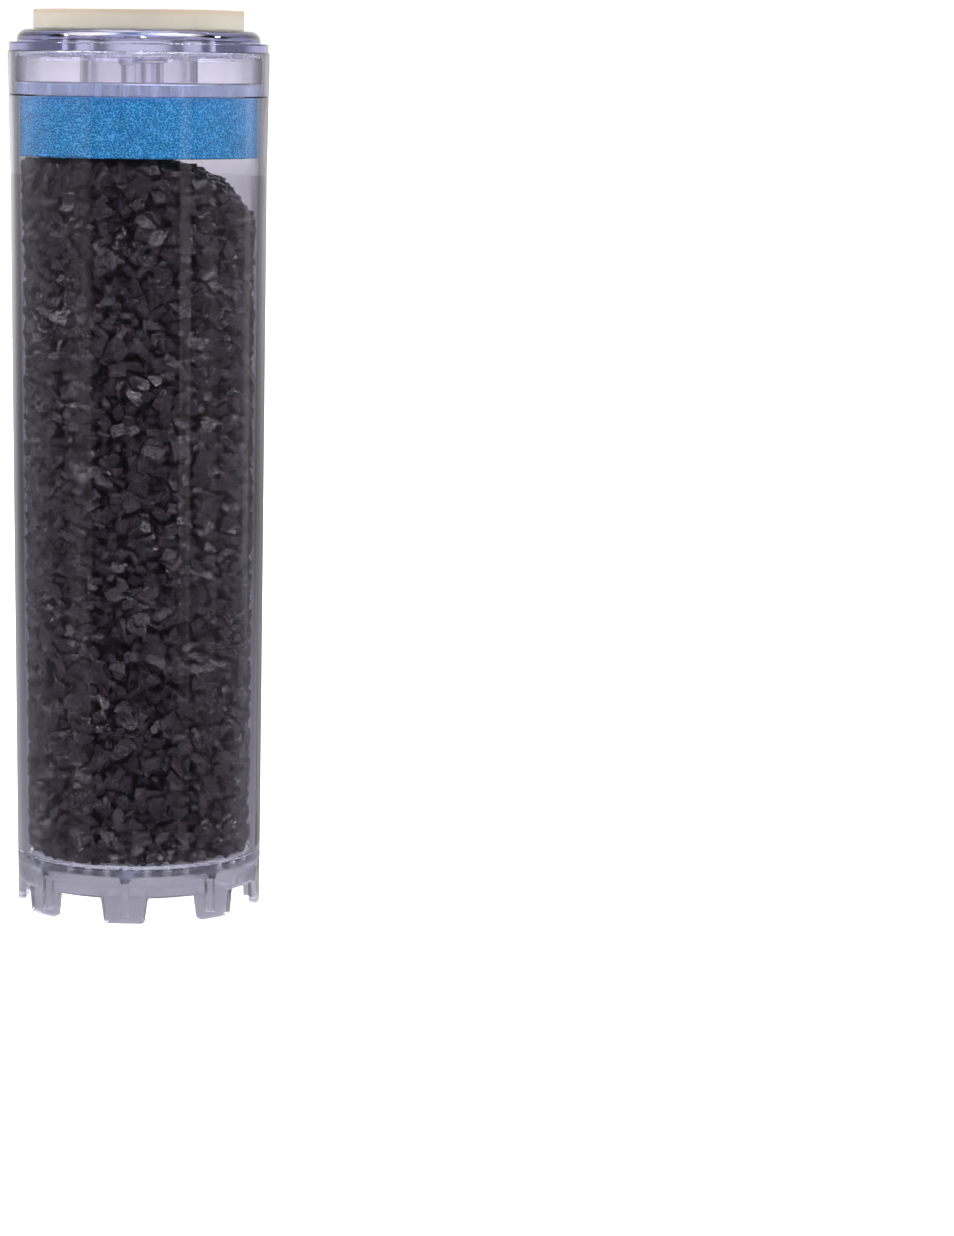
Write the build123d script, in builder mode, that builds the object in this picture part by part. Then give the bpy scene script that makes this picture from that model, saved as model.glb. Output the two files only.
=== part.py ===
"""Clear refillable water-filter cartridge, about 72 mm across and 250 mm tall.

A drafted clear canister stands on eight castellated feet. Water enters between the feet, rises
through the slotted floor, a mesh disc, a bed of granular carbon, a foam pad and a slotted grid, and
leaves by the bore in the middle of a push-in end cap, which a flat ring gasket seals on its top.
The origin is the centre of the feet's bottom plane, +Z is up, and one foot lies towards -Y.
"""

import os
from math import pi

from build123d import *

os.makedirs("parts", exist_ok=True)

# Canister wall: outer radii at named heights above the feet's bottom plane
foot_plane_radius = 34.15
draft_end_z, draft_end_radius = 205.0, 35.5
ledge_z, ledge_outer_radius = 226.5, 35.95
rim_z, rim_radius = 238.6, 36.1
wall = 2.5
ledge_bore_radius = 33.15
socket_floor_radius, socket_mouth_radius = 34.3, 34.35
rim_rounding = 0.5
line_groove = 0.2  # depth and half height of the fine V groove round the outside at the ledge

# Slotted floor, skirt and feet
floor_bottom_z, floor_top_z = 12.7, 14.7
floor_corner_rounding = 1.2
skirt_edge_z = 7.2
foot_count = 8
foot_pitch = 360 / foot_count
foot_top_width, foot_bottom_width = 13.2, 11.4
foot_corner_rounding = 1.2
gap_corner_rounding = 0.6
foot_inset = 0.35  # the feet are thinner than the skirt by this much, on the inside
gusset_width, gusset_depth, gusset_foot_z = 2.0, 2.3, 1.4
floor_rib_height, floor_rib_root_width = 2.1, 3.8
floor_hub_radius = 7.0
slot_width = 2.0
outer_slot_span = (18.0, 26.5)
inner_slot_span = (9.0, 16.0)
outer_slots_per_foot = 3

# Mesh disc, carbon bed and foam pad
mesh_radius, mesh_thickness = 30.3, 0.6
bed_clearance = 0.25
bed_top_z = 209.6
hollow_start_x, hollow_end_z = 6.0, 192.0  # the bed has settled away from the wall on the +X side
hollow_crown = (22.5, 204.0)
foam_radius, foam_bottom_z, foam_top_z = 32.7, 209.9, 226.2
foam_edge_rounding = 0.8

# Slotted grid under the end cap
grid_radius, grid_thickness = 34.1, 3.4
grid_rim_width, grid_web_thickness = 3.2, 3.0
grid_hub_radius, grid_hub_height = 4.5, 0.4
grid_slot_width = 2.2
grid_outer_slot_span = (19.5, 28.0)
grid_inner_slot_span = (7.5, 17.0)
grid_outer_slots, grid_inner_slots = 24, 12
edge_rounding = 0.4

# End cap
cap_gap = 0.1  # between the cap's lower ends and the grid
plug_radius, plug_inner_radius, plug_draft = 34.1, 31.0, 0.2
underside_z = 237.4
flange_radius, flange_top_z = 35.7, 240.9
seat_radius, seat_z, seat_rounding = 33.6, 244.4, 3.0
neck_radius, bore_radius = 16.3, 13.5
post_circle_radius, post_radius = 23.0, 3.65
post_collar_radius, post_collar_z = 4.65, 235.7
post_collar_rounding = 0.8
post_angle = -76.0  # degrees from +X; the second post is opposite

# O-ring in the corner under the flange
o_ring_section = 1.6
o_ring_fit = 0.05  # radial gap to the canister's mouth, and to the groove's floor
groove_height = 1.7

# Top gasket
gasket_radius, gasket_bore_radius, gasket_thickness = 29.0, 14.0, 5.6
gasket_edge_rounding = 0.5

# Heights and radii that follow from the sizes above
web_top_z = ledge_z + grid_web_thickness
plug_end_z = ledge_z + grid_thickness + cap_gap
o_ring_radius = socket_mouth_radius - o_ring_fit - o_ring_section / 2
groove_floor_radius = o_ring_radius - o_ring_section / 2 - o_ring_fit


def outer_wall_radius(z):
    """Outer radius of the plain drafted wall at a height."""
    return foot_plane_radius + (draft_end_radius - foot_plane_radius) * z / draft_end_z


def inner_wall_radius(z):
    """Inner radius of the plain drafted wall at a height."""
    return outer_wall_radius(z) - wall


def circle_at(builder, z, radius):
    """The circular edge of a round part that lies nearest to a height and a radius."""
    circles = builder.edges().filter_by(GeomType.CIRCLE)
    return min(circles, key=lambda edge: abs(edge.arc_center.Z - z) + abs(edge.radius - radius))


def radial_slot(span, width, bottom_z, top_z):
    """Cutter for a round-ended slot along +X between two radii, through a plate's two heights."""
    inner, outer = span
    with BuildPart() as slot:
        with BuildSketch(Plane.XY.offset(bottom_z - 1)):
            with Locations(((inner + outer) / 2, 0)):
                SlotOverall(outer - inner, width)
        extrude(amount=top_z - bottom_z + 2)
    return slot.part


def foot_gap():
    """Cutter for the gap between two feet, which lies along +X."""
    pitch_length = 2 * pi * foot_plane_radius / foot_count
    narrow, wide = pitch_length - foot_top_width, pitch_length - foot_bottom_width
    with BuildPart() as gap:
        with BuildSketch(Plane.YZ):
            with BuildLine():
                Polyline(
                    (-wide / 2, -1),
                    (-wide / 2, 0),
                    (-narrow / 2, skirt_edge_z),
                    (narrow / 2, skirt_edge_z),
                    (wide / 2, 0),
                    (wide / 2, -1),
                    close=True,
                )
            make_face()
        extrude(amount=foot_plane_radius + wall)
        upper_corners = gap.edges().filter_by(Axis.X).group_by(Axis.Z)[-1]
        fillet(upper_corners, gap_corner_rounding)
    return gap.part


def gusset_and_floor_rib():
    """A foot's gusset, and the rib that carries it on under the floor to the hub, along +X."""
    mid_wall = inner_wall_radius(0) + wall / 2
    gusset_face = inner_wall_radius(skirt_edge_z) - gusset_depth
    inside_floor_z = floor_bottom_z + 0.5
    with BuildPart() as rib:
        with BuildSketch(Plane.XZ):
            with BuildLine():
                Polyline(
                    (mid_wall, gusset_foot_z),
                    (gusset_face + 0.4, gusset_foot_z),
                    (gusset_face, inside_floor_z),
                    (mid_wall, inside_floor_z),
                    close=True,
                )
            make_face()
        extrude(amount=gusset_width / 2, both=True)
        with BuildSketch(Plane.YZ.offset(floor_hub_radius / 2)):
            with BuildLine():
                Polyline(
                    (-gusset_width / 2, floor_bottom_z - floor_rib_height),
                    (gusset_width / 2, floor_bottom_z - floor_rib_height),
                    (floor_rib_root_width / 2, inside_floor_z),
                    (-floor_rib_root_width / 2, inside_floor_z),
                    close=True,
                )
            make_face()
        extrude(amount=mid_wall - floor_hub_radius / 2)
    return rib.part


def press_post():
    """Collared post that hangs from the cap's underside, about its own axis."""
    post_end_z = web_top_z + cap_gap
    root_z = underside_z + 0.5
    with BuildPart() as post:
        with BuildSketch(Plane.XZ):
            with BuildLine():
                Polyline(
                    (0, post_end_z),
                    (post_radius, post_end_z),
                    (post_radius, post_collar_z),
                    (post_collar_radius, post_collar_z),
                    (post_collar_radius, root_z),
                    (0, root_z),
                    close=True,
                )
            make_face()
        revolve(axis=Axis.Z)
        fillet(circle_at(post, post_collar_z, post_collar_radius), post_collar_rounding)
    return post.part


# Canister: one clear moulding with its slotted floor, skirt, feet and gussets
gap_tool = foot_gap()
rib_tool = gusset_and_floor_rib()
outer_slot = radial_slot(outer_slot_span, slot_width, floor_bottom_z, floor_top_z)
inner_slot = radial_slot(inner_slot_span, slot_width, floor_bottom_z, floor_top_z)
with BuildPart() as canister_body:
    with BuildSketch(Plane.XZ):
        with BuildLine():
            Polyline(
                (0, floor_bottom_z),
                (inner_wall_radius(floor_bottom_z), floor_bottom_z),
                (inner_wall_radius(skirt_edge_z), skirt_edge_z),
                (inner_wall_radius(skirt_edge_z) + foot_inset, skirt_edge_z),
                (inner_wall_radius(0) + foot_inset, 0),
                (foot_plane_radius, 0),
                (draft_end_radius, draft_end_z),
                (ledge_outer_radius, ledge_z - line_groove),
                (ledge_outer_radius - line_groove, ledge_z),
                (ledge_outer_radius, ledge_z + line_groove),
                (rim_radius, rim_z),
                (socket_mouth_radius, rim_z),
                (socket_floor_radius, ledge_z),
                (ledge_bore_radius, ledge_z),
                (inner_wall_radius(draft_end_z), draft_end_z),
                (inner_wall_radius(floor_top_z), floor_top_z),
                (0, floor_top_z),
                close=True,
            )
        make_face()
    revolve(axis=Axis.Z)
    fillet(circle_at(canister_body, rim_z, rim_radius), rim_rounding)
    fillet(circle_at(canister_body, floor_top_z, inner_wall_radius(floor_top_z)), floor_corner_rounding)
    with PolarLocations(0, foot_count, start_angle=foot_pitch / 2):
        add(gap_tool, mode=Mode.SUBTRACT)
    foot_corners = [
        edge
        for edge in canister_body.edges().filter_by(GeomType.LINE)
        if edge.length < wall and edge.center().Z < 0.01
    ]
    fillet(foot_corners, foot_corner_rounding)
    with PolarLocations(0, foot_count):
        add(rib_tool)
    with BuildSketch(Plane.XY.offset(floor_bottom_z - floor_rib_height)):
        Circle(floor_hub_radius)
    extrude(amount=floor_rib_height + 0.5)
    slot_pitch = foot_pitch / (outer_slots_per_foot + 1)
    for step in range(1, outer_slots_per_foot + 1):
        with PolarLocations(0, foot_count, start_angle=step * slot_pitch):
            add(outer_slot, mode=Mode.SUBTRACT)
    with PolarLocations(0, foot_count, start_angle=foot_pitch / 2):
        add(inner_slot, mode=Mode.SUBTRACT)
canister_body.part.label = "canister_body"
export_step(canister_body.part, "parts/canister_body.step")

# Strainer mesh: fine disc on the floor, which keeps carbon dust out of the slots
with BuildPart() as strainer_mesh:
    with BuildSketch(Plane.XY.offset(floor_top_z)):
        Circle(mesh_radius)
    extrude(amount=mesh_thickness)
strainer_mesh.part.label = "strainer_mesh"
export_step(strainer_mesh.part, "parts/strainer_mesh.step")

# Carbon bed: the charge as one solid of its outer shape, with the hollow beside its top
mesh_top_z = floor_top_z + mesh_thickness
bed_shoulder_z = floor_top_z + floor_corner_rounding + 0.6
bed_top_radius = inner_wall_radius(draft_end_z) - bed_clearance
with BuildPart() as carbon_bed:
    with BuildSketch(Plane.XZ):
        with BuildLine():
            Polyline(
                (0, mesh_top_z),
                (mesh_radius - 0.5, mesh_top_z),
                (inner_wall_radius(bed_shoulder_z) - bed_clearance, bed_shoulder_z),
                (bed_top_radius, bed_top_z),
                (0, bed_top_z),
                close=True,
            )
        make_face()
    revolve(axis=Axis.Z)
    with BuildSketch(Plane.XZ):
        with BuildLine():
            ThreePointArc(
                (hollow_start_x, bed_top_z),
                hollow_crown,
                (bed_top_radius + 1, hollow_end_z),
            )
            Polyline(
                (bed_top_radius + 1, hollow_end_z),
                (bed_top_radius + 1, bed_top_z + 1),
                (hollow_start_x, bed_top_z + 1),
                (hollow_start_x, bed_top_z),
            )
        make_face()
    extrude(amount=bed_top_radius, both=True, mode=Mode.SUBTRACT)
carbon_bed.part.label = "carbon_bed"
export_step(carbon_bed.part, "parts/carbon_bed.step")

# Foam pad: coarse disc between the carbon and the grid
with BuildPart() as foam_pad:
    with BuildSketch(Plane.XY.offset(foam_bottom_z)):
        Circle(foam_radius)
    extrude(amount=foam_top_z - foam_bottom_z)
    fillet(foam_pad.edges().filter_by(GeomType.CIRCLE), foam_edge_rounding)
foam_pad.part.label = "foam_pad"
export_step(foam_pad.part, "parts/foam_pad.step")

# Retainer grid: clear slotted disc on the canister's ledge, with a raised rim and hub
outer_grid_slot = radial_slot(grid_outer_slot_span, grid_slot_width, ledge_z, web_top_z)
inner_grid_slot = radial_slot(grid_inner_slot_span, grid_slot_width, ledge_z, web_top_z)
with BuildPart() as retainer_grid:
    with BuildSketch(Plane.XY.offset(ledge_z)):
        Circle(grid_radius)
    extrude(amount=grid_web_thickness)
    with BuildSketch(Plane.XY.offset(web_top_z)):
        Circle(grid_radius)
        Circle(grid_radius - grid_rim_width, mode=Mode.SUBTRACT)
    extrude(amount=grid_thickness - grid_web_thickness)
    with BuildSketch(Plane.XY.offset(web_top_z)):
        Circle(grid_hub_radius)
    extrude(amount=grid_hub_height)
    for z in (ledge_z, ledge_z + grid_thickness):
        fillet(circle_at(retainer_grid, z, grid_radius), edge_rounding)
    with PolarLocations(0, grid_outer_slots):
        add(outer_grid_slot, mode=Mode.SUBTRACT)
    with PolarLocations(0, grid_inner_slots, start_angle=180 / grid_inner_slots):
        add(inner_grid_slot, mode=Mode.SUBTRACT)
retainer_grid.part.label = "retainer_grid"
export_step(retainer_grid.part, "parts/retainer_grid.step")

# End cap: hollow plug, flange, raised gasket seat, outlet neck, and two posts that press on the grid
post_tool = press_post()
with BuildPart() as end_cap:
    with BuildSketch(Plane.XZ):
        with BuildLine():
            Polyline(
                (bore_radius, plug_end_z),
                (neck_radius, plug_end_z),
                (neck_radius, underside_z),
                (plug_inner_radius, underside_z),
                (plug_inner_radius + plug_draft, plug_end_z),
                (plug_radius, plug_end_z),
                (plug_radius, rim_z - groove_height),
                (groove_floor_radius, rim_z - groove_height),
                (groove_floor_radius, rim_z),
                (flange_radius, rim_z),
                (flange_radius, flange_top_z),
                (seat_radius, flange_top_z),
                (seat_radius, seat_z),
                (bore_radius, seat_z),
                close=True,
            )
        make_face()
    revolve(axis=Axis.Z)
    fillet(circle_at(end_cap, seat_z, seat_radius), seat_rounding)
    fillet(circle_at(end_cap, flange_top_z, flange_radius), edge_rounding)
    fillet(circle_at(end_cap, plug_end_z, plug_radius), edge_rounding)
    with PolarLocations(post_circle_radius, 2, start_angle=post_angle):
        add(post_tool)
end_cap.part.label = "end_cap"
export_step(end_cap.part, "parts/end_cap.step")

# O-ring: clear silicone, in the corner between the plug and the flange
with BuildPart() as cap_o_ring:
    with BuildSketch(Plane.XZ):
        with Locations((o_ring_radius, rim_z - groove_height / 2)):
            Circle(o_ring_section / 2)
    revolve(axis=Axis.Z)
cap_o_ring.part.label = "cap_o_ring"
export_step(cap_o_ring.part, "parts/cap_o_ring.step")

# Top gasket: flat rubber ring glued to the cap's seat
with BuildPart() as top_gasket:
    with BuildSketch(Plane.XY.offset(seat_z)):
        Circle(gasket_radius)
        Circle(gasket_bore_radius, mode=Mode.SUBTRACT)
    extrude(amount=gasket_thickness)
    fillet(circle_at(top_gasket, seat_z + gasket_thickness, gasket_radius), gasket_edge_rounding)
top_gasket.part.label = "top_gasket"
export_step(top_gasket.part, "parts/top_gasket.step")
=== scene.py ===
from math import cos, pi, radians, sin

import bmesh
import bpy
import numpy as np
from mathutils import Matrix, Vector, noise
from mathutils.bvhtree import BVHTree


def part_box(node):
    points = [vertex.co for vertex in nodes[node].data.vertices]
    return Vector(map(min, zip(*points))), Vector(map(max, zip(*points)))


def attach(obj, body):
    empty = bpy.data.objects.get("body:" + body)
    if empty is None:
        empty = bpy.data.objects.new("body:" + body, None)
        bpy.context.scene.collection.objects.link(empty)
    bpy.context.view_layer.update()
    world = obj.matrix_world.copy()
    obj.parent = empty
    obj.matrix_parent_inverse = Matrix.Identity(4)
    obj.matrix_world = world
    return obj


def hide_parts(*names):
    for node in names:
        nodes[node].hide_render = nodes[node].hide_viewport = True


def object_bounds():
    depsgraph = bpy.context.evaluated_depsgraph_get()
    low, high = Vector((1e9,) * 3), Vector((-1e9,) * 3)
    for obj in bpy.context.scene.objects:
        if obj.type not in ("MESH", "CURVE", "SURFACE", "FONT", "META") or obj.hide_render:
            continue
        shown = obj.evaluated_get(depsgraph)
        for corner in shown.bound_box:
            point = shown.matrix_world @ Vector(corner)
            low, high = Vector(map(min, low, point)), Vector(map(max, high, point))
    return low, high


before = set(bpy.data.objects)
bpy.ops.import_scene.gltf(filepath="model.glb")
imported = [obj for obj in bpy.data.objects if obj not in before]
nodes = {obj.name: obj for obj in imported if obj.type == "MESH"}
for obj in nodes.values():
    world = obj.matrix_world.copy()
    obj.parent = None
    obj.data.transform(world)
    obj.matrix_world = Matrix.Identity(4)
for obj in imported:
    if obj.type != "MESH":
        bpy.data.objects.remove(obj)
cad_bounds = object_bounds()
MM = 0.001

# Granules: how many kinds of chip, their lengths, and the layers' spacing, depth and unevenness
CHIP_SEED, CHIP_SHAPES = 20, 48
CHIP_LENGTH = (3.2 * MM, 7.6 * MM)
LAYERS = (
    (2.6 * MM, 0.0, 0.9 * MM),
    (3.2 * MM, 2.8 * MM, 1.0 * MM),
)
SURFACE_SAMPLES = 60000
CORE_DEPTH, CORE_UNEVENNESS = 4.5 * MM, 0.3
BANDS = 8
# The share of chips that lie flat on the surface, and how far those are tilted and turned
FLAT_SHARE, FLAT_TILT, FLAT_SPIN = 0.62, radians(24), radians(38)
# In the hollow chips are smaller, and lie under the CAD bed's surface
HOLLOW_CHIPS, SUNK, HOLLOW_DROP = 0.68, 1.0 * MM, 1.0 * MM
# How near counts as on the wall, as at the level top, and as level with it
NEAR_WALL, NEAR_TOP, LEVEL_WITH_TOP = 0.3 * MM, 0.1 * MM, 0.02 * MM

# Foam: how far its side stands proud before the pores are sunk into it, its edges, and the pores
FOAM_PROUD, FOAM_ROUNDING = 0.15 * MM, 0.5 * MM
PORES_PER_METRE, PORE_DEPTH, PORE_REACH = 1500, 0.22 * MM, 0.55

# Gasket: the gap that keeps the seat under it a mirror, its edges, and how uneven it is
GASKET_GAP, GASKET_SOFTNESS = 0.04 * MM, 0.5 * MM
GASKET_WAVE, GASKET_OUT_OF_ROUND = 0.22 * MM, 0.002

# Strainer cloth: thread spacing, thread radius, and the gap at its edge
CLOTH_PITCH, CLOTH_THREAD, CLOTH_EDGE = 1.25 * MM, 0.155 * MM, 0.3 * MM

# Frosting of the moulding at the floor and the feet: height, added roughness
FROSTED_FOOT = (
    (0.0, 0.20),
    (6.0 * MM, 0.18),
    (8.0 * MM, 0.04),
    (9.6 * MM, 0.04),
    (10.6 * MM, 0.22),
    (12.6 * MM, 0.25),
    (13.0 * MM, 0.32),
    (14.6 * MM, 0.32),
    (15.0 * MM, 0.0),
)
# Painted shade: the thin dark line round the outside, in the groove level with the grid's underside, is
# dark base colour standing in for the ledge's shade
LEDGE_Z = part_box("retainer_grid")[0].z
LEDGE_SHADE_LINE = (
    (LEDGE_Z - 0.5 * MM, 0.0),
    (LEDGE_Z - 0.25 * MM, 0.0),
    (LEDGE_Z - 0.1 * MM, 1.0),
    (LEDGE_Z + 0.1 * MM, 1.0),
    (LEDGE_Z + 0.25 * MM, 0.0),
    (LEDGE_Z + 0.5 * MM, 0.0),
)
SHADE_LINE_COLOUR = (0.30, 0.28, 0.38)

# Camera: a long lens a little over a metre away, level with the cap
CAMERA_DISTANCE, CAMERA_HEIGHT = 1.097, 0.2403
CAMERA_BEARING = radians(7.0)
CAMERA_YAW, CAMERA_PITCH, CAMERA_ROLL = radians(4.98), radians(8.26), radians(0.70)
CAMERA_LENS = 114.1

# Light levels, as radiance; bearings are from the camera's side, positive to the right
AMBIENT_LEVEL, BACKDROP_LEVEL, FLOOR_GLOW = 0.42, 1.1, 0.7
MIRRORED_FRONT, MIRRORED_SIDE, MIRRORED_BEHIND = 0.04, 0.16, 0.9
# Suns: name, bearing, rise, angular width, strength, and the kind of ray that doesn't get their light
SUNS = (
    ("front_sun", radians(0), radians(42), radians(12), 0.55, "visible_glossy"),
    ("back_sun", radians(180), radians(42), radians(12), 0.55, "visible_glossy"),
    ("left_sun", radians(-85), radians(25), radians(40), 2.0, "visible_glossy"),
    ("right_sun", radians(85), radians(25), radians(40), 1.9, "visible_glossy"),
    ("glint_sun", radians(4), radians(38), radians(5), 2.4, "visible_diffuse"),
    ("right_glint_sun", radians(94), radians(38), radians(5), 1.6, "visible_diffuse"),
    ("back_glint_sun", radians(184), radians(38), radians(5), 2.4, "visible_diffuse"),
    ("left_glint_sun", radians(274), radians(38), radians(5), 1.6, "visible_diffuse"),
)
# What clear parts bend into view, as shares of the brightest, by how far the direction points up
BRIGHTEST, LAMPS_THROUGH = 1.3, 0.2
LAMP_COLOUR = (1.0, 0.94, 1.0)
THROUGH_BEHIND = (
    (-1.0, (0.42, 0.41, 0.48)),
    (-0.3, (0.42, 0.41, 0.48)),
    (-0.26, (0.235, 0.23, 0.28)),
    (-0.224, (0.185, 0.18, 0.225)),
    (-0.212, (0.34, 0.335, 0.395)),
    (-0.2, (0.34, 0.335, 0.395)),
    (-0.185, (0.29, 0.285, 0.335)),
    (-0.12, (0.26, 0.255, 0.295)),
    (-0.05, (0.41, 0.40, 0.44)),
    (-0.014, (0.50, 0.49, 0.53)),
    (-0.004, (0.70, 0.69, 0.72)),
    (0.012, (0.70, 0.69, 0.72)),
    (0.03, (0.80, 0.79, 0.82)),
    (0.1, (0.80, 0.79, 0.82)),
    (0.14, (0.62, 0.61, 0.70)),
    (1.0, (0.62, 0.61, 0.70)),
)
THROUGH_GAP = (
    (-1.0, (0.42, 0.41, 0.48)),
    (-0.3, (0.34, 0.33, 0.38)),
    (-0.21, (0.22, 0.215, 0.25)),
    (-0.12, (0.045, 0.045, 0.055)),
    (-0.014, (0.10, 0.10, 0.11)),
    (-0.004, (0.18, 0.175, 0.20)),
    (0.15, (0.35, 0.35, 0.40)),
    (0.4, (0.46, 0.45, 0.51)),
    (1.0, (0.46, 0.45, 0.51)),
)
THROUGH_SIDE = (
    (-1.0, (0.42, 0.41, 0.48)),
    (-0.2, (0.24, 0.235, 0.27)),
    (-0.12, (0.16, 0.155, 0.18)),
    (-0.014, (0.20, 0.195, 0.22)),
    (-0.004, (0.60, 0.59, 0.64)),
    (0.03, (0.70, 0.69, 0.74)),
    (0.12, (0.66, 0.65, 0.70)),
    (0.3, (0.42, 0.41, 0.46)),
    (1.0, (0.42, 0.41, 0.46)),
)
THROUGH_FRONT = (
    (-1.0, (0.42, 0.41, 0.48)),
    (-0.27, (0.35, 0.345, 0.39)),
    (-0.23, (0.03, 0.03, 0.035)),
    (-0.014, (0.03, 0.03, 0.035)),
    (-0.004, (0.40, 0.39, 0.43)),
    (0.1, (0.40, 0.39, 0.43)),
    (0.3, (0.24, 0.235, 0.26)),
    (1.0, (0.24, 0.235, 0.26)),
)
# Upright softboxes: bearing, half width, softness, level
STRIPS = (
    (radians(-52), radians(7), radians(3), 0.42),
    (radians(42), radians(4.5), radians(2), 0.70),
    (radians(71), radians(3), radians(3), 0.25),
    (radians(115), radians(4), radians(3), 0.35),
)
# A faint glow low on both sides, which the sides of the feet bend into view: degrees from behind, level
LOW_GLOW, LOW_GLOW_LEVEL = (101, 114, 127), 0.16
# Round lamps high on each side: bearing, rise, radius, softness, level
HIGH_LAMPS = (
    (radians(-80), radians(60), radians(16), radians(8), 14.0),
    (radians(69), radians(68), radians(16), radians(8), 14.0),
)


# ---------------------------------------------------------------- materials

def material(name):
    """A new node material and what is needed to build on it."""
    mat = bpy.data.materials.new(name)
    mat.use_nodes = True
    tree = mat.node_tree
    return mat, tree, tree.nodes["Principled BSDF"]


def add_node(tree, kind, **values):
    """A shader node with its properties and inputs set by name; input names use _ for a space."""
    node = tree.nodes.new(kind)
    for key, value in values.items():
        if hasattr(node, key):
            setattr(node, key, value)
        else:
            node.inputs[key.replace("_", " ")].default_value = value
    return node


def pattern(tree, kind, scale, **values):
    """A texture node in the object's own coordinates, in features per metre."""
    place = add_node(tree, "ShaderNodeTexCoord")
    texture = add_node(tree, kind, Scale=scale, **values)
    tree.links.new(place.outputs["Object"], texture.inputs["Vector"])
    return texture


def ramp(tree, factor, stops):
    """A colour ramp over a factor output; stops are (position, colour)."""
    node = add_node(tree, "ShaderNodeValToRGB")
    elements = node.color_ramp.elements
    while len(elements) < len(stops):
        elements.new(0.5)
    for element, (position, colour) in zip(elements, stops):
        element.position = position
        element.color = (*colour, 1)
    tree.links.new(factor, node.inputs["Fac"])
    return node


def height_in(tree):
    """The height above the feet's plane."""
    place = add_node(tree, "ShaderNodeTexCoord")
    split = add_node(tree, "ShaderNodeSeparateXYZ")
    tree.links.new(place.outputs["Object"], split.inputs[0])
    return split.outputs["Z"]


def spread(tree, factor, low, high):
    """A factor output stretched to a range of values."""
    node = add_node(tree, "ShaderNodeMapRange")
    node.inputs["To Min"].default_value = low
    node.inputs["To Max"].default_value = high
    tree.links.new(factor, node.inputs["Value"])
    return node.outputs["Result"]


def bump(tree, height, shader, strength, distance):
    """Bump on a shader from a height output, with its distance in metres."""
    node = add_node(tree, "ShaderNodeBump", Strength=strength, Distance=distance)
    tree.links.new(height, node.inputs["Height"])
    tree.links.new(node.outputs["Normal"], shader.inputs["Normal"])
    return node


def clear_plastic(name, colour, smoothness, tint, clarity=1.0, frosting=None, line=None):
    """Clear styrene: lavender where it's thick, faintly wavy, and open to lamps for what it holds."""
    mat, tree, shader = material(name)
    shader.inputs["Base Color"].default_value = (*colour, 1)
    shader.inputs["Transmission Weight"].default_value = clarity
    shader.inputs["IOR"].default_value = 1.57
    smudges = pattern(tree, "ShaderNodeTexNoise", 60, Detail=5)
    roughness = spread(tree, smudges.outputs["Fac"], *smoothness)
    if frosting:
        roughness = calculate(tree, "ADD", roughness, by_place(tree, frosting))
    # Painted shade: the base colour darkens to a thin line round the groove at the ledge
    if line:
        painted_line_shade = mixed(tree, by_place(tree, line), colour, SHADE_LINE_COLOUR)
        tree.links.new(painted_line_shade, shader.inputs["Base Color"])
    tree.links.new(roughness, shader.inputs["Roughness"])
    flow = pattern(tree, "ShaderNodeTexNoise", 35, Detail=2)
    bump(tree, flow.outputs["Fac"], shader, 1.0, 0.02 * MM)
    lamps = add_node(tree, "ShaderNodeBsdfTransparent", Color=(0.93, 0.93, 0.97, 1))
    path = add_node(tree, "ShaderNodeLightPath")
    mix = add_node(tree, "ShaderNodeMixShader")
    tree.links.new(path.outputs["Is Shadow Ray"], mix.inputs[0])
    tree.links.new(shader.outputs[0], mix.inputs[1])
    tree.links.new(lamps.outputs[0], mix.inputs[2])
    out = tree.nodes["Material Output"]
    tree.links.new(mix.outputs[0], out.inputs["Surface"])
    depth = add_node(tree, "ShaderNodeVolumeAbsorption", Color=(0.25, 0.22, 0.78, 1), Density=tint)
    tree.links.new(depth.outputs[0], out.inputs["Volume"])
    return mat


def by_place(tree, stops):
    """A level by height above the feet's plane, from stops of (height, level)."""
    lowest, highest = stops[0][0], stops[-1][0]
    above = calculate(tree, "SUBTRACT", height_in(tree), lowest)
    share = calculate(tree, "DIVIDE", above, highest - lowest)
    places = [((height - lowest) / (highest - lowest), (level,) * 3) for height, level in stops]
    return ramp(tree, share, places).outputs["Color"]


def carbon(name):
    """Activated carbon: near black, each chip with its own tone and gloss, and a fine broken grain."""
    mat, tree, shader = material(name)
    tone = add_node(tree, "ShaderNodeAttribute", attribute_name="chip_tone")
    colours = ramp(tree, tone.outputs["Fac"], (
        (0.0, (0.005, 0.0022, 0.0048)),
        (0.6, (0.009, 0.0042, 0.0082)),
        (1.0, (0.015, 0.0085, 0.0140)),
    ))
    tree.links.new(colours.outputs["Color"], shader.inputs["Base Color"])
    gloss = pattern(tree, "ShaderNodeTexNoise", 260, Detail=3)
    own = calculate(tree, "MULTIPLY", tone.outputs["Fac"], 0.08)
    roughness = calculate(tree, "ADD", spread(tree, gloss.outputs["Fac"], 0.04, 0.2), own)
    tree.links.new(roughness, shader.inputs["Roughness"])
    shader.inputs["IOR"].default_value = 1.6
    ripples = pattern(tree, "ShaderNodeTexNoise", 1400, Detail=3, Roughness=0.5, Distortion=0.8)
    bump(tree, ripples.outputs["Fac"], shader, 1.0, 0.36 * MM)
    return mat


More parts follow.
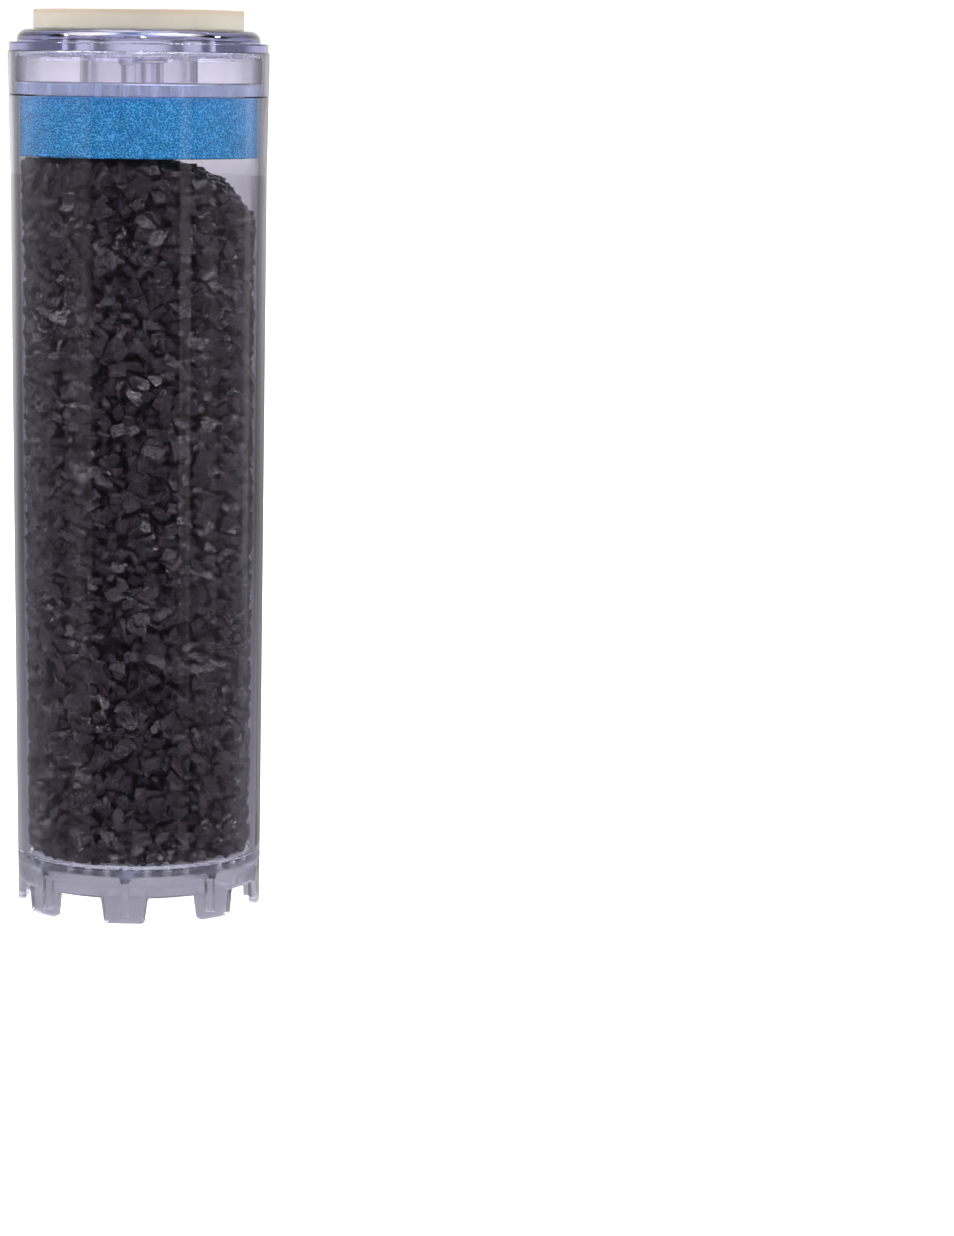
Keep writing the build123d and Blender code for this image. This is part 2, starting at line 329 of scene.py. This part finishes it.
def foam(name):
    """Open-cell foam: dark pores between lighter struts, the pores' darkness being painted shade."""
    mat, tree, shader = material(name)
    cells = pattern(tree, "ShaderNodeTexVoronoi", 1900, feature="F1", Randomness=1.0)
    # Painted shade: the colour darkens towards each cell's middle, as shade in the pores
    colours = ramp(tree, cells.outputs["Distance"], (
        (0.0, (0.004, 0.062, 0.175)),
        (0.4, (0.012, 0.139, 0.312)),
        (0.75, (0.065, 0.300, 0.515)),
    ))
    clouds = pattern(tree, "ShaderNodeTexNoise", 320, Detail=4)
    shade = spread(tree, clouds.outputs["Fac"], 0.55, 1.5)
    tree.links.new(scaled(tree, colours.outputs["Color"], shade), shader.inputs["Base Color"])
    shader.inputs["Roughness"].default_value = 0.9
    shader.inputs["Specular IOR Level"].default_value = 0.15
    bump(tree, cells.outputs["Distance"], shader, 0.7, 0.5 * MM)
    return mat


def cream_rubber(name):
    """Soft cream rubber: faint mottling, and a warmer tone towards its top."""
    mat, tree, shader = material(name)
    mottle = pattern(tree, "ShaderNodeTexNoise", 90, Detail=4)
    colours = ramp(tree, mottle.outputs["Fac"], (
        (0.3, (0.425, 0.386, 0.317)),
        (0.7, (0.480, 0.446, 0.371)),
    ))
    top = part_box("top_gasket")[1].z
    wander = calculate(tree, "MULTIPLY", mottle.outputs["Fac"], 1.5 * MM)
    height = calculate(tree, "ADD", height_in(tree), wander)
    # A warmer, darker tone towards the top edge
    warm_top = step(tree, height, top - 1.4 * MM, top + 0.6 * MM, 0.0, 1.0)
    toned = mixed(tree, warm_top, colours.outputs["Color"], (0.43, 0.34, 0.255))
    tree.links.new(toned, shader.inputs["Base Color"])
    matt = pattern(tree, "ShaderNodeTexNoise", 300, Detail=3)
    tree.links.new(spread(tree, matt.outputs["Fac"], 0.5, 0.75), shader.inputs["Roughness"])
    skin = pattern(tree, "ShaderNodeTexNoise", 900, Detail=4)
    bump(tree, skin.outputs["Fac"], shader, 0.3, 0.1 * MM)
    return mat


def silicone(name):
    """Clear silicone, a little milky."""
    mat, tree, shader = material(name)
    shader.inputs["Base Color"].default_value = (0.93, 0.93, 0.97, 1)
    shader.inputs["Transmission Weight"].default_value = 0.9
    shader.inputs["IOR"].default_value = 1.43
    haze = pattern(tree, "ShaderNodeTexNoise", 500, Detail=2)
    tree.links.new(spread(tree, haze.outputs["Fac"], 0.15, 0.35), shader.inputs["Roughness"])
    return mat


def polyester(name):
    """White polyester thread, a little uneven in tone."""
    mat, tree, shader = material(name)
    slubs = pattern(tree, "ShaderNodeTexNoise", 700, Detail=3)
    colours = ramp(tree, slubs.outputs["Fac"], ((0.3, (0.55, 0.56, 0.60)), (0.7, (0.78, 0.78, 0.82))))
    tree.links.new(colours.outputs["Color"], shader.inputs["Base Color"])
    tree.links.new(spread(tree, slubs.outputs["Fac"], 0.45, 0.7), shader.inputs["Roughness"])
    return mat


def pale_floor(name):
    """Plain white surface with a glow of its own, so that it stays pale in the object's shade."""
    mat, tree, shader = material(name)
    fleck = pattern(tree, "ShaderNodeTexNoise", 3, Detail=2)
    colours = ramp(tree, fleck.outputs["Fac"], ((0.3, (0.92, 0.92, 0.92)), (0.7, (0.95, 0.95, 0.95))))
    tree.links.new(colours.outputs["Color"], shader.inputs["Base Color"])
    shader.inputs["Roughness"].default_value = 0.9
    shader.inputs["Emission Color"].default_value = (1, 1, 1, 1)
    shader.inputs["Emission Strength"].default_value = FLOOR_GLOW
    return mat


# ---------------------------------------------------------------- meshes

def mesh_piece(name, vertices, faces, mat, smooth=False):
    """An object from vertex and face lists, in the row frame."""
    mesh = bpy.data.meshes.new(name)
    mesh.from_pydata(vertices, [], faces)
    mesh.update()
    if smooth:
        mesh.shade_smooth()
    mesh.materials.append(mat)
    piece = bpy.data.objects.new(name, mesh)
    bpy.context.scene.collection.objects.link(piece)
    return piece


def lathe(profile, segments, closed=False):
    """Vertices and faces of a profile of (radius, z) turned about Z. Fans close its ends on the axis."""
    vertices, faces, rings = [], [], []
    for radius, z in profile:
        if radius < 1e-9:
            rings.append([len(vertices)])
            vertices.append((0.0, 0.0, z))
            continue
        rings.append(list(range(len(vertices), len(vertices) + segments)))
        for i in range(segments):
            angle = 2 * pi * i / segments
            vertices.append((radius * cos(angle), radius * sin(angle), z))
    pairs = list(zip(rings, rings[1:]))
    if closed:
        pairs.append((rings[-1], rings[0]))
    for low, high in pairs:
        for i in range(segments):
            j = (i + 1) % segments
            if len(low) == 1:
                faces.append((low[0], high[j], high[i]))
            elif len(high) == 1:
                faces.append((low[i], low[j], high[0]))
            else:
                faces.append((low[i], low[j], high[j], high[i]))
    return vertices, faces


def rounded_slab(radius, bottom, top, rounding, rows, rings):
    """Profile of a disc with rounded edges, from the bottom's centre round to the top's centre."""
    steps = 5
    flat = [radius * i / rings for i in range(rings) if radius * i / rings < radius - rounding]
    profile = [(reach, bottom) for reach in flat]
    for centre, start in ((bottom + rounding, -pi / 2), (top - rounding, 0.0)):
        arc = [start + pi / 2 * i / steps for i in range(steps + 1)]
        profile += [(radius - rounding + rounding * cos(a), centre + rounding * sin(a)) for a in arc]
        if start < 0:
            height = top - bottom - 2 * rounding
            profile += [(radius, centre + height * i / rows) for i in range(1, rows)]
    return profile + [(reach, top) for reach in reversed(flat)]


# ---------------------------------------------------------------- granules

def chip_shape(rng):
    """One angular chip of unit length: a flat block with its corners and edges struck off by planes."""
    bm = bmesh.new()
    bmesh.ops.create_cube(bm, size=1.0)
    size = Vector((1.0, rng.uniform(0.6, 0.9), rng.uniform(0.38, 0.62)))
    shear = Matrix(((1, rng.uniform(-0.4, 0.4), 0), (0, 1, rng.uniform(-0.4, 0.4)), (0, 0, 1)))
    for v in bm.verts:
        v.co = shear @ Vector(a * b for a, b in zip(v.co, size))
    for _ in range(rng.integers(5, 8)):
        towards = Vector(rng.normal(size=3)).normalized()
        reach = max(v.co.dot(towards) for v in bm.verts)
        cut = bmesh.ops.bisect_plane(
            bm,
            geom=bm.verts[:] + bm.edges[:] + bm.faces[:],
            plane_co=towards * reach * rng.uniform(0.62, 0.85),
            plane_no=towards,
            clear_outer=True,
        )
        rim = [g for g in cut["geom_cut"] if isinstance(g, bmesh.types.BMEdge)]
        bmesh.ops.edgeloop_fill(bm, edges=rim)
    bmesh.ops.remove_doubles(bm, verts=bm.verts[:], dist=0.02)
    bmesh.ops.recalc_face_normals(bm, faces=bm.faces[:])
    bm.verts.index_update()
    points = np.array([v.co[:] for v in bm.verts])
    faces = [[v.index for v in f.verts] for f in bm.faces]
    bm.free()
    return points - points.mean(0), faces


def surface_samples(mesh, rng, count):
    """Points spread by area over a mesh, with their normals."""
    mesh.calc_loop_triangles()
    corners = np.array([[mesh.vertices[v].co[:] for v in t.vertices] for t in mesh.loop_triangles])
    across = np.cross(corners[:, 1] - corners[:, 0], corners[:, 2] - corners[:, 0])
    area = np.linalg.norm(across, axis=1)
    chosen = rng.choice(len(corners), size=count, p=area / area.sum())
    a, b = rng.random((2, count, 1))
    flip = (a + b) > 1
    a, b = np.where(flip, 1 - a, a), np.where(flip, 1 - b, b)
    c = corners[chosen]
    points = c[:, 0] + a * (c[:, 1] - c[:, 0]) + b * (c[:, 2] - c[:, 0])
    return points, across[chosen] / area[chosen, None]


def thinned(points, spacing):
    """Indices of points that are at least a spacing apart, taken in order."""
    kept, cells = [], {}
    for index, point in enumerate(points):
        cell = tuple((point // spacing).astype(int))
        near = (
            other
            for x in (-1, 0, 1) for y in (-1, 0, 1) for z in (-1, 0, 1)
            for other in cells.get((cell[0] + x, cell[1] + y, cell[2] + z), ())
        )
        if all(np.sum((point - points[other]) ** 2) > spacing ** 2 for other in near):
            cells.setdefault(cell, []).append(index)
            kept.append(index)
    return np.array(kept)


def wall_limit(mesh):
    """The CAD bed's outer radius as a function of height."""
    co = np.array([v.co[:] for v in mesh.vertices])
    radius = np.hypot(co[:, 0], co[:, 1])
    heights = np.unique(np.round(co[:, 2], 5))
    reach = np.array([radius[np.abs(co[:, 2] - z) < 2e-5].max() for z in heights])
    outside = reach > 0.9 * reach.max()
    return lambda z: np.interp(z, heights[outside], reach[outside])


def top_limit(mesh, above):
    """The height that chips may reach over a place: the CAD bed's top, or less in its hollow."""
    corners, polygons = [v.co[:] for v in mesh.vertices], [p.vertices[:] for p in mesh.polygons]
    tree = BVHTree.FromPolygons(corners, polygons)

    def height(place):
        hit = tree.ray_cast(Vector((place[0], place[1], above + MM)), Vector((0, 0, -1)))[0]
        top = hit.z if hit else above
        return top - HOLLOW_DROP * (top < above - LEVEL_WITH_TOP)

    return height


def turned(normal, rng, flat):
    """A random rotation. A flat chip's thin way is nearly along the normal, and its long way level."""
    if flat:
        spin = Matrix.Rotation(rng.normal(0, FLAT_SPIN) + pi * rng.integers(2), 3, "Z")
        tip = Matrix.Rotation(rng.normal(0, FLAT_TILT), 3, "X")
        lean = Matrix.Rotation(rng.normal(0, FLAT_TILT), 3, "Y")
        lay = Vector(normal).to_track_quat("Z", "Y").to_matrix()
        return np.array(lay @ (tip @ lean) @ spin)
    axis = Vector(rng.normal(size=3)).normalized()
    spin = Matrix.Rotation(rng.uniform(0, 2 * pi), 3, "Z")
    return np.array(Matrix.Rotation(rng.uniform(0, 2 * pi), 3, axis) @ spin)


def laid_chips(low, high):
    """The chips over the surface of the CAD bed, given its box: corners, faces and tone of each."""
    rng = np.random.default_rng(CHIP_SEED)
    bed = nodes["carbon_bed"].data
    limit = wall_limit(bed)
    top_of_bed = top_limit(bed, high.z)
    shapes = [chip_shape(rng) for _ in range(CHIP_SHAPES)]
    chips = []
    for spacing, depth, jitter in LAYERS:
        points, normals = surface_samples(bed, rng, SURFACE_SAMPLES)
        for i in thinned(points, spacing):
            point, normal = points[i], normals[i]
            shape, faces = shapes[rng.integers(len(shapes))]
            length = CHIP_LENGTH[0] + (CHIP_LENGTH[1] - CHIP_LENGTH[0]) * rng.beta(1.6, 2.6)
            on_wall = abs(np.hypot(*point[:2]) - limit(point[2])) < NEAR_WALL
            in_hollow = normal[2] > 0.1 and point[2] < high.z - NEAR_TOP
            if in_hollow:
                length *= HOLLOW_CHIPS
            body = (shape * length) @ turned(normal, rng, rng.random() < FLAT_SHARE).T
            sunk = rng.uniform(0, SUNK) if in_hollow and not on_wall else 0.0
            inward = (body @ normal).max() + depth + rng.uniform(0, jitter) + sunk
            body = body + point - normal * inward
            over = body[:, 2].max() - top_of_bed(body.mean(0))
            body[:, 2] += max(0.0, low.z - body[:, 2].min()) - max(0.0, over)
            excess = (np.hypot(body[:, 0], body[:, 1]) - limit(body[:, 2])).max()
            if excess > 0:
                middle = body.mean(0)
                body[:, :2] -= middle[:2] / np.hypot(*middle[:2]) * excess
            chips.append((body, faces, rng.random()))
    return chips


def granules(mat):
    """The bed's chips in two layers, as pieces in bands of height, and a dark core."""
    low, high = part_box("carbon_bed")
    chips = laid_chips(low, high)
    heights = np.array([body[:, 2].mean() for body, faces, tone in chips])
    band_of = np.minimum(((heights - low.z) / (high.z - low.z) * BANDS).astype(int), BANDS - 1)
    for band in range(BANDS):
        vertices, polygons, tones = [], [], []
        for i in np.flatnonzero(band_of == band):
            body, faces, tone = chips[i]
            first = len(vertices)
            vertices.extend(map(tuple, body))
            polygons.extend([first + v for v in face] for face in faces)
            tones.extend([tone] * len(faces))
        piece = mesh_piece(f"granules_{band + 1}", vertices, polygons, mat)
        piece.data.attributes.new("chip_tone", "FLOAT", "FACE").data.foreach_set("value", tones)
        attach(piece, "canister")
        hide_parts("carbon_bed")
    core(mat)


def core(mat):
    """The bed behind its outer chips: the CAD bed's outline drawn in, and made uneven."""
    bm = bmesh.new()
    bm.from_mesh(nodes["carbon_bed"].data)
    bmesh.ops.remove_doubles(bm, verts=bm.verts[:], dist=0.01 * MM)
    bmesh.ops.triangulate(bm, faces=bm.faces[:])
    bm.normal_update()
    moved = [
        v.co - v.normal * CORE_DEPTH * (1 + CORE_UNEVENNESS * noise.noise(v.co * 150))
        for v in bm.verts
    ]
    for v, place in zip(bm.verts, moved):
        v.co = place
    mesh = bpy.data.meshes.new("granule_core")
    bm.to_mesh(mesh)
    bm.free()
    mesh.materials.append(mat)
    piece = bpy.data.objects.new("granule_core", mesh)
    bpy.context.scene.collection.objects.link(piece)
    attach(piece, "canister")
    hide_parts("carbon_bed")


# ---------------------------------------------------------------- soft parts and small parts

def foam_pad(mat):
    """A cut foam disc: crisp outline, with pores sunk into every side."""
    low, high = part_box("foam_pad")
    profile = rounded_slab(high.x + FOAM_PROUD, low.z, high.z, FOAM_ROUNDING, 40, 60)
    vertices, faces = lathe(profile, 420)
    middle = (low.z + high.z) / 2
    shaped = []
    for place in map(Vector, vertices):
        out = Vector((place.x, place.y, 0))
        side = out.length > high.x - 0.3 * MM
        away = out.normalized() if side else Vector((0, 0, 1 if place.z > middle else -1))
        cell = noise.voronoi(place * PORES_PER_METRE)[0]
        pore = PORE_DEPTH * max(0.0, PORE_REACH - cell[0]) / PORE_REACH
        shaped.append(place - away * pore)
    piece = mesh_piece("foam_disc", shaped, faces, mat, smooth=True)
    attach(piece, "foam")
    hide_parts("foam_pad")


def gasket(mat):
    """A flat moulded ring with soft, slightly uneven edges, a hair above its seat."""
    low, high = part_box("top_gasket")
    low.z += GASKET_GAP
    hole = min(Vector(v.co.xy).length for v in nodes["top_gasket"].data.vertices)
    soft, steps, rows, rings = GASKET_SOFTNESS, 4, 8, 12
    quarter = [pi / 2 * i / steps for i in range(steps + 1)]
    outer, inner = high.x - soft, hole + soft
    upright = high.z - low.z - 2 * soft
    profile = [(outer + soft * sin(a), low.z + soft - soft * cos(a)) for a in quarter]
    profile += [(high.x, low.z + soft + upright * i / rows) for i in range(1, rows)]
    profile += [(outer + soft * cos(a), high.z - soft + soft * sin(a)) for a in quarter]
    profile += [(outer + (inner - outer) * i / rings, high.z) for i in range(1, rings)]
    profile += [(inner - soft * sin(a), high.z - soft + soft * cos(a)) for a in quarter]
    profile += [(hole, high.z - soft - upright * i / rows) for i in range(1, rows)]
    profile += [(inner - soft * cos(a), low.z + soft - soft * sin(a)) for a in quarter]
    profile += [(inner + (outer - inner) * i / rings, low.z) for i in range(1, rings)]
    vertices, faces = lathe(profile, 240, closed=True)
    shaped = []
    for place in map(Vector, vertices):
        rise = (place.z - low.z) / (high.z - low.z)
        wander = noise.noise(place * 45)
        place.z += rise * GASKET_WAVE * (wander - 0.3)
        place.xy *= 1 + GASKET_OUT_OF_ROUND * noise.noise(place * 60 + Vector((5, 0, 0)))
        shaped.append(place)
    piece = mesh_piece("gasket_ring", shaped, faces, mat, smooth=True)
    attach(piece, "cap")
    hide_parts("top_gasket")


def o_ring(mat):
    """The seal under the flange, with the fine moulding line of its two halves."""
    low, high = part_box("cap_o_ring")
    section = (high.z - low.z) / 2
    ring = high.x - section
    middle = (low.z + high.z) / 2
    profile, sides, line_height = [], 24, 1.03
    for i in range(sides):
        angle = 2 * pi * i / sides
        reach = section * (1.0 if i % (sides // 2) else line_height)
        profile.append((ring + reach * cos(angle), middle + reach * sin(angle)))
    vertices, faces = lathe(profile, 240, closed=True)
    piece = mesh_piece("o_ring_seal", vertices, faces, mat, smooth=True)
    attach(piece, "cap")
    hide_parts("cap_o_ring")


def strainer_cloth(mat):
    """Plain weave: threads each way that pass over and under, cut to the disc."""
    low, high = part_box("strainer_mesh")
    radius, middle = high.x, (low.z + high.z) / 2
    pitch, thread = CLOTH_PITCH, CLOTH_THREAD
    swing = (high.z - low.z) / 2 - thread
    vertices, faces = [], []
    sides = 5
    reach = int(radius / pitch)
    for along in (0, 1):
        for line in range(-reach, reach + 1):
            offset = line * pitch
            half = (max(0.0, radius ** 2 - offset ** 2)) ** 0.5 - CLOTH_EDGE
            count = int(2 * half / (pitch / 3))
            if count < 4:
                continue
            first = len(vertices)
            for i in range(count + 1):
                s = -half + 2 * half * i / count
                over = cos(pi * (s / pitch + line + along))
                for k in range(sides):
                    angle = 2 * pi * k / sides
                    across = offset + thread * cos(angle)
                    rise = middle + swing * over + thread * sin(angle)
                    vertices.append((s, across, rise) if along else (across, s, rise))
            for i in range(count):
                for k in range(sides):
                    a, b = first + i * sides + k, first + i * sides + (k + 1) % sides
                    faces.append((a, b, b + sides, a + sides))
            faces.append(tuple(first + k for k in range(sides)))
            faces.append(tuple(first + count * sides + k for k in reversed(range(sides))))
    piece = mesh_piece("strainer_cloth", vertices, faces, mat, smooth=True)
    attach(piece, "canister")
    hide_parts("strainer_mesh")


# ---------------------------------------------------------------- stage

def floor():
    """A wide pale floor at the feet."""
    low = cad_bounds[0]
    half = 30.0
    corners = [(x * half, y * half, low.z) for x, y in ((-1, -1), (1, -1), (1, 1), (-1, 1))]
    piece = mesh_piece("floor", corners, [(0, 1, 2, 3)], pale_floor("pale_floor"))
    piece.visible_glossy = False
    piece.visible_transmission = False


def direction_to(bearing, rise=0.0):
    """The unit direction at a bearing from the camera's side, and a rise above level."""
    angle = CAMERA_BEARING + bearing
    return (sin(angle) * cos(rise), -cos(angle) * cos(rise), sin(rise))


def facing(tree, heading, bearing):
    """How far a level heading points towards a bearing: 1 straight at it, -1 straight away."""
    node = add_node(tree, "ShaderNodeVectorMath", operation="DOT_PRODUCT")
    tree.links.new(heading, node.inputs[0])
    node.inputs[1].default_value = direction_to(bearing)
    return node.outputs["Value"]


def step(tree, value, low, high, before, after):
    """A smooth change from one level to another while a value goes from low to high."""
    node = add_node(tree, "ShaderNodeMapRange", interpolation_type="SMOOTHSTEP")
    for socket, number in (("From Min", low), ("From Max", high), ("To Min", before), ("To Max", after)):
        node.inputs[socket].default_value = number
    tree.links.new(value, node.inputs["Value"])
    return node.outputs["Result"]


def calculate(tree, operation, a, b):
    """A math node over two values, each an output or a number."""
    node = add_node(tree, "ShaderNodeMath", operation=operation)
    for socket, value in zip(node.inputs, (a, b)):
        if isinstance(value, (int, float)):
            socket.default_value = value
        else:
            tree.links.new(value, socket)
    return node.outputs[0]


def mixed(tree, factor, a, b):
    """A blend of two colours, each an output or a colour."""
    node = add_node(tree, "ShaderNodeMix", data_type="RGBA")
    sockets = [s for s in node.inputs if s.type == "RGBA"]
    tree.links.new(factor, next(s for s in node.inputs if s.type == "VALUE"))
    for socket, value in zip(sockets, (a, b)):
        if isinstance(value, tuple):
            socket.default_value = (*value, 1)
        else:
            tree.links.new(value, socket)
    return next(s for s in node.outputs if s.type == "RGBA")


def by_height(tree, height, stops):
    """Colours by how far a direction points up: -1 straight down, 1 straight up."""
    factor = calculate(tree, "MULTIPLY_ADD", height, 0.5)
    factor.node.inputs[2].default_value = 0.5
    return ramp(tree, factor, [((up + 1) / 2, colour) for up, colour in stops]).outputs["Color"]


def strips(tree, heading):
    """The upright softboxes, by bearing, with soft edges."""
    total = 0.0
    for bearing, half_width, softness, level in STRIPS:
        near = facing(tree, heading, bearing)
        edge, full = cos(half_width + softness), cos(max(half_width - softness, 0))
        total = calculate(tree, "ADD", total, step(tree, near, edge, full, 0.0, level))
    return total


def high_lamps(tree, direction):
    """The round lamps overhead, by how near a direction points to each."""
    total = 0.0
    for bearing, rise, radius, softness, level in HIGH_LAMPS:
        near = add_node(tree, "ShaderNodeVectorMath", operation="DOT_PRODUCT")
        tree.links.new(direction, near.inputs[0])
        near.inputs[1].default_value = direction_to(bearing, rise)
        edge, full = cos(radius + softness), cos(radius - softness)
        total = calculate(tree, "ADD", total, step(tree, near.outputs["Value"], edge, full, 0.0, level))
    return total


def scaled(tree, colour, level):
    """A colour multiplied by a level, each an output or what it is."""
    node = add_node(tree, "ShaderNodeVectorMath", operation="SCALE")
    for socket, value in (("Vector", colour), ("Scale", level)):
        if isinstance(value, (int, float, tuple)):
            node.inputs[socket].default_value = value
        else:
            tree.links.new(value, node.inputs[socket])
    return node.outputs[0]


def summed(tree, a, b):
    """Two colours or levels added as colours."""
    node = add_node(tree, "ShaderNodeVectorMath", operation="ADD")
    tree.links.new(a, node.inputs[0])
    tree.links.new(b, node.inputs[1])
    return node.outputs[0]


def seen_through(tree, direction, heading, height):
    """What clear parts bend into view: dark in front, pale sides, a dark gap, bright straight behind."""
    behind = facing(tree, heading, pi)
    around = by_height(tree, height, THROUGH_FRONT)
    for stops, start, end in (
        (THROUGH_SIDE, 110, 70),
        (THROUGH_GAP, 58, 42),
        (THROUGH_BEHIND, 27, 3),
    ):
        share = step(tree, behind, cos(radians(start)), cos(radians(end)), 0.0, 1.0)
        around = mixed(tree, share, around, by_height(tree, height, stops))
    start, peak, end = (cos(radians(angle)) for angle in LOW_GLOW)
    rise = step(tree, behind, end, peak, 0.0, LOW_GLOW_LEVEL)
    fall = step(tree, behind, peak, start, 1.0, 0.0)
    around = summed(tree, around, calculate(tree, "MULTIPLY", rise, fall))
    high = calculate(tree, "MULTIPLY", high_lamps(tree, direction), LAMPS_THROUGH)
    return summed(tree, scaled(tree, around, BRIGHTEST), high)


def mirrored(tree, direction, heading, height):
    """What is reflected: dark in front, dim sides, bright behind, and uneven upright softboxes."""
    front = facing(tree, heading, 0)
    side = step(tree, front, -0.3, 0.8, MIRRORED_SIDE, MIRRORED_FRONT)
    behind = step(tree, front, -1.0, -0.6, MIRRORED_BEHIND - MIRRORED_SIDE, 0.0)
    low = step(tree, height, -0.12, -0.03, 0.5, 1.0)
    around = calculate(tree, "MULTIPLY", calculate(tree, "ADD", side, behind), low)
    blotches = add_node(tree, "ShaderNodeTexNoise", Scale=9, Detail=3)
    tree.links.new(direction, blotches.inputs["Vector"])
    uneven = step(tree, blotches.outputs["Fac"], 0.35, 0.62, 0.5, 1.0)
    fading = calculate(tree, "MULTIPLY", uneven, step(tree, height, -0.19, -0.11, 0.3, 1.0))
    upright = calculate(tree, "MULTIPLY", strips(tree, heading), fading)
    lit = calculate(tree, "ADD", upright, high_lamps(tree, direction))
    return summed(tree, around, scaled(tree, LAMP_COLOUR, lit))


def surroundings():
    """White seen directly, an even glow on matt parts, and a studio for what clear parts show."""
    world = bpy.data.worlds.new("studio")
    world.use_nodes = True
    tree = world.node_tree
    direction = add_node(tree, "ShaderNodeTexCoord").outputs["Generated"]
    split = add_node(tree, "ShaderNodeSeparateXYZ")
    tree.links.new(direction, split.inputs[0])
    height = split.outputs["Z"]
    flat = add_node(tree, "ShaderNodeVectorMath", operation="MULTIPLY")
    tree.links.new(direction, flat.inputs[0])
    flat.inputs[1].default_value = (1, 1, 0)
    level = add_node(tree, "ShaderNodeVectorMath", operation="NORMALIZE")
    tree.links.new(flat.outputs[0], level.inputs[0])
    heading = level.outputs[0]
    path = add_node(tree, "ShaderNodeLightPath")
    colour = (AMBIENT_LEVEL,) * 3
    for ray, other in (
        ("Is Glossy Ray", mirrored(tree, direction, heading, height)),
        ("Is Transmission Ray", seen_through(tree, direction, heading, height)),
        ("Is Camera Ray", (BACKDROP_LEVEL,) * 3),
    ):
        colour = mixed(tree, path.outputs[ray], colour, other)
    tree.links.new(colour, tree.nodes["Background"].inputs["Color"])
    bpy.context.scene.world = world


def lights():
    """Suns for matt light, and small ones for glints. None is seen through the clear parts."""
    for name, bearing, rise, width, strength, unlit in SUNS:
        sun = bpy.data.lights.new(name, "SUN")
        sun.energy, sun.angle = strength, width
        piece = bpy.data.objects.new(name, sun)
        piece.rotation_euler = Vector(direction_to(bearing, rise)).to_track_quat("Z", "Y").to_euler()
        piece.visible_transmission = False
        setattr(piece, unlit, False)
        bpy.context.scene.collection.objects.link(piece)


def camera():
    """Long lens at the cap's height, turned right and down, with a slight roll."""
    data = bpy.data.cameras.new("camera")
    data.lens = CAMERA_LENS
    data.clip_end = 200
    eye = bpy.data.objects.new("camera", data)
    turn = Matrix.Rotation(CAMERA_BEARING - CAMERA_YAW, 4, "Z")
    tip = Matrix.Rotation(pi / 2 - CAMERA_PITCH, 4, "X")
    roll = Matrix.Rotation(CAMERA_ROLL, 4, "Z")
    place = Vector(direction_to(0)) * CAMERA_DISTANCE + Vector((0, 0, CAMERA_HEIGHT))
    eye.matrix_world = Matrix.Translation(place) @ turn @ tip @ roll
    bpy.context.scene.collection.objects.link(eye)
    bpy.context.scene.camera = eye


# ---------------------------------------------------------------- the model

PLASTICS = {
    "canister_body": clear_plastic(
        "clear_body", (0.95, 0.94, 0.98), (0.0, 0.05), 7.0, frosting=FROSTED_FOOT, line=LEDGE_SHADE_LINE,
    ),
    "end_cap": clear_plastic("clear_cap", (0.975, 0.97, 0.985), (0.0, 0.04), 11.0),
    # Painted reflection: the grid's blue-grey tint stands in for the blue foam seen through and mirrored
    # in the clear grid; its satin haze is its own
    "retainer_grid": clear_plastic("satin_grid_painted_tint", (0.72, 0.77, 0.84), (0.08, 0.20), 7.0, clarity=0.90),
}
for part, plastic in PLASTICS.items():
    nodes[part].material_slots[0].material = plastic
granules(carbon("granular_carbon"))
foam_pad(foam("open_cell_foam"))
gasket(cream_rubber("cream_rubber_ring"))
o_ring(silicone("milky_silicone"))
strainer_cloth(polyester("polyester_thread"))
floor()
surroundings()
lights()
camera()
bpy.context.scene.view_settings.view_transform = "Standard"
bpy.context.scene.cycles.max_bounces = 40
bpy.context.scene.cycles.transmission_bounces = 40
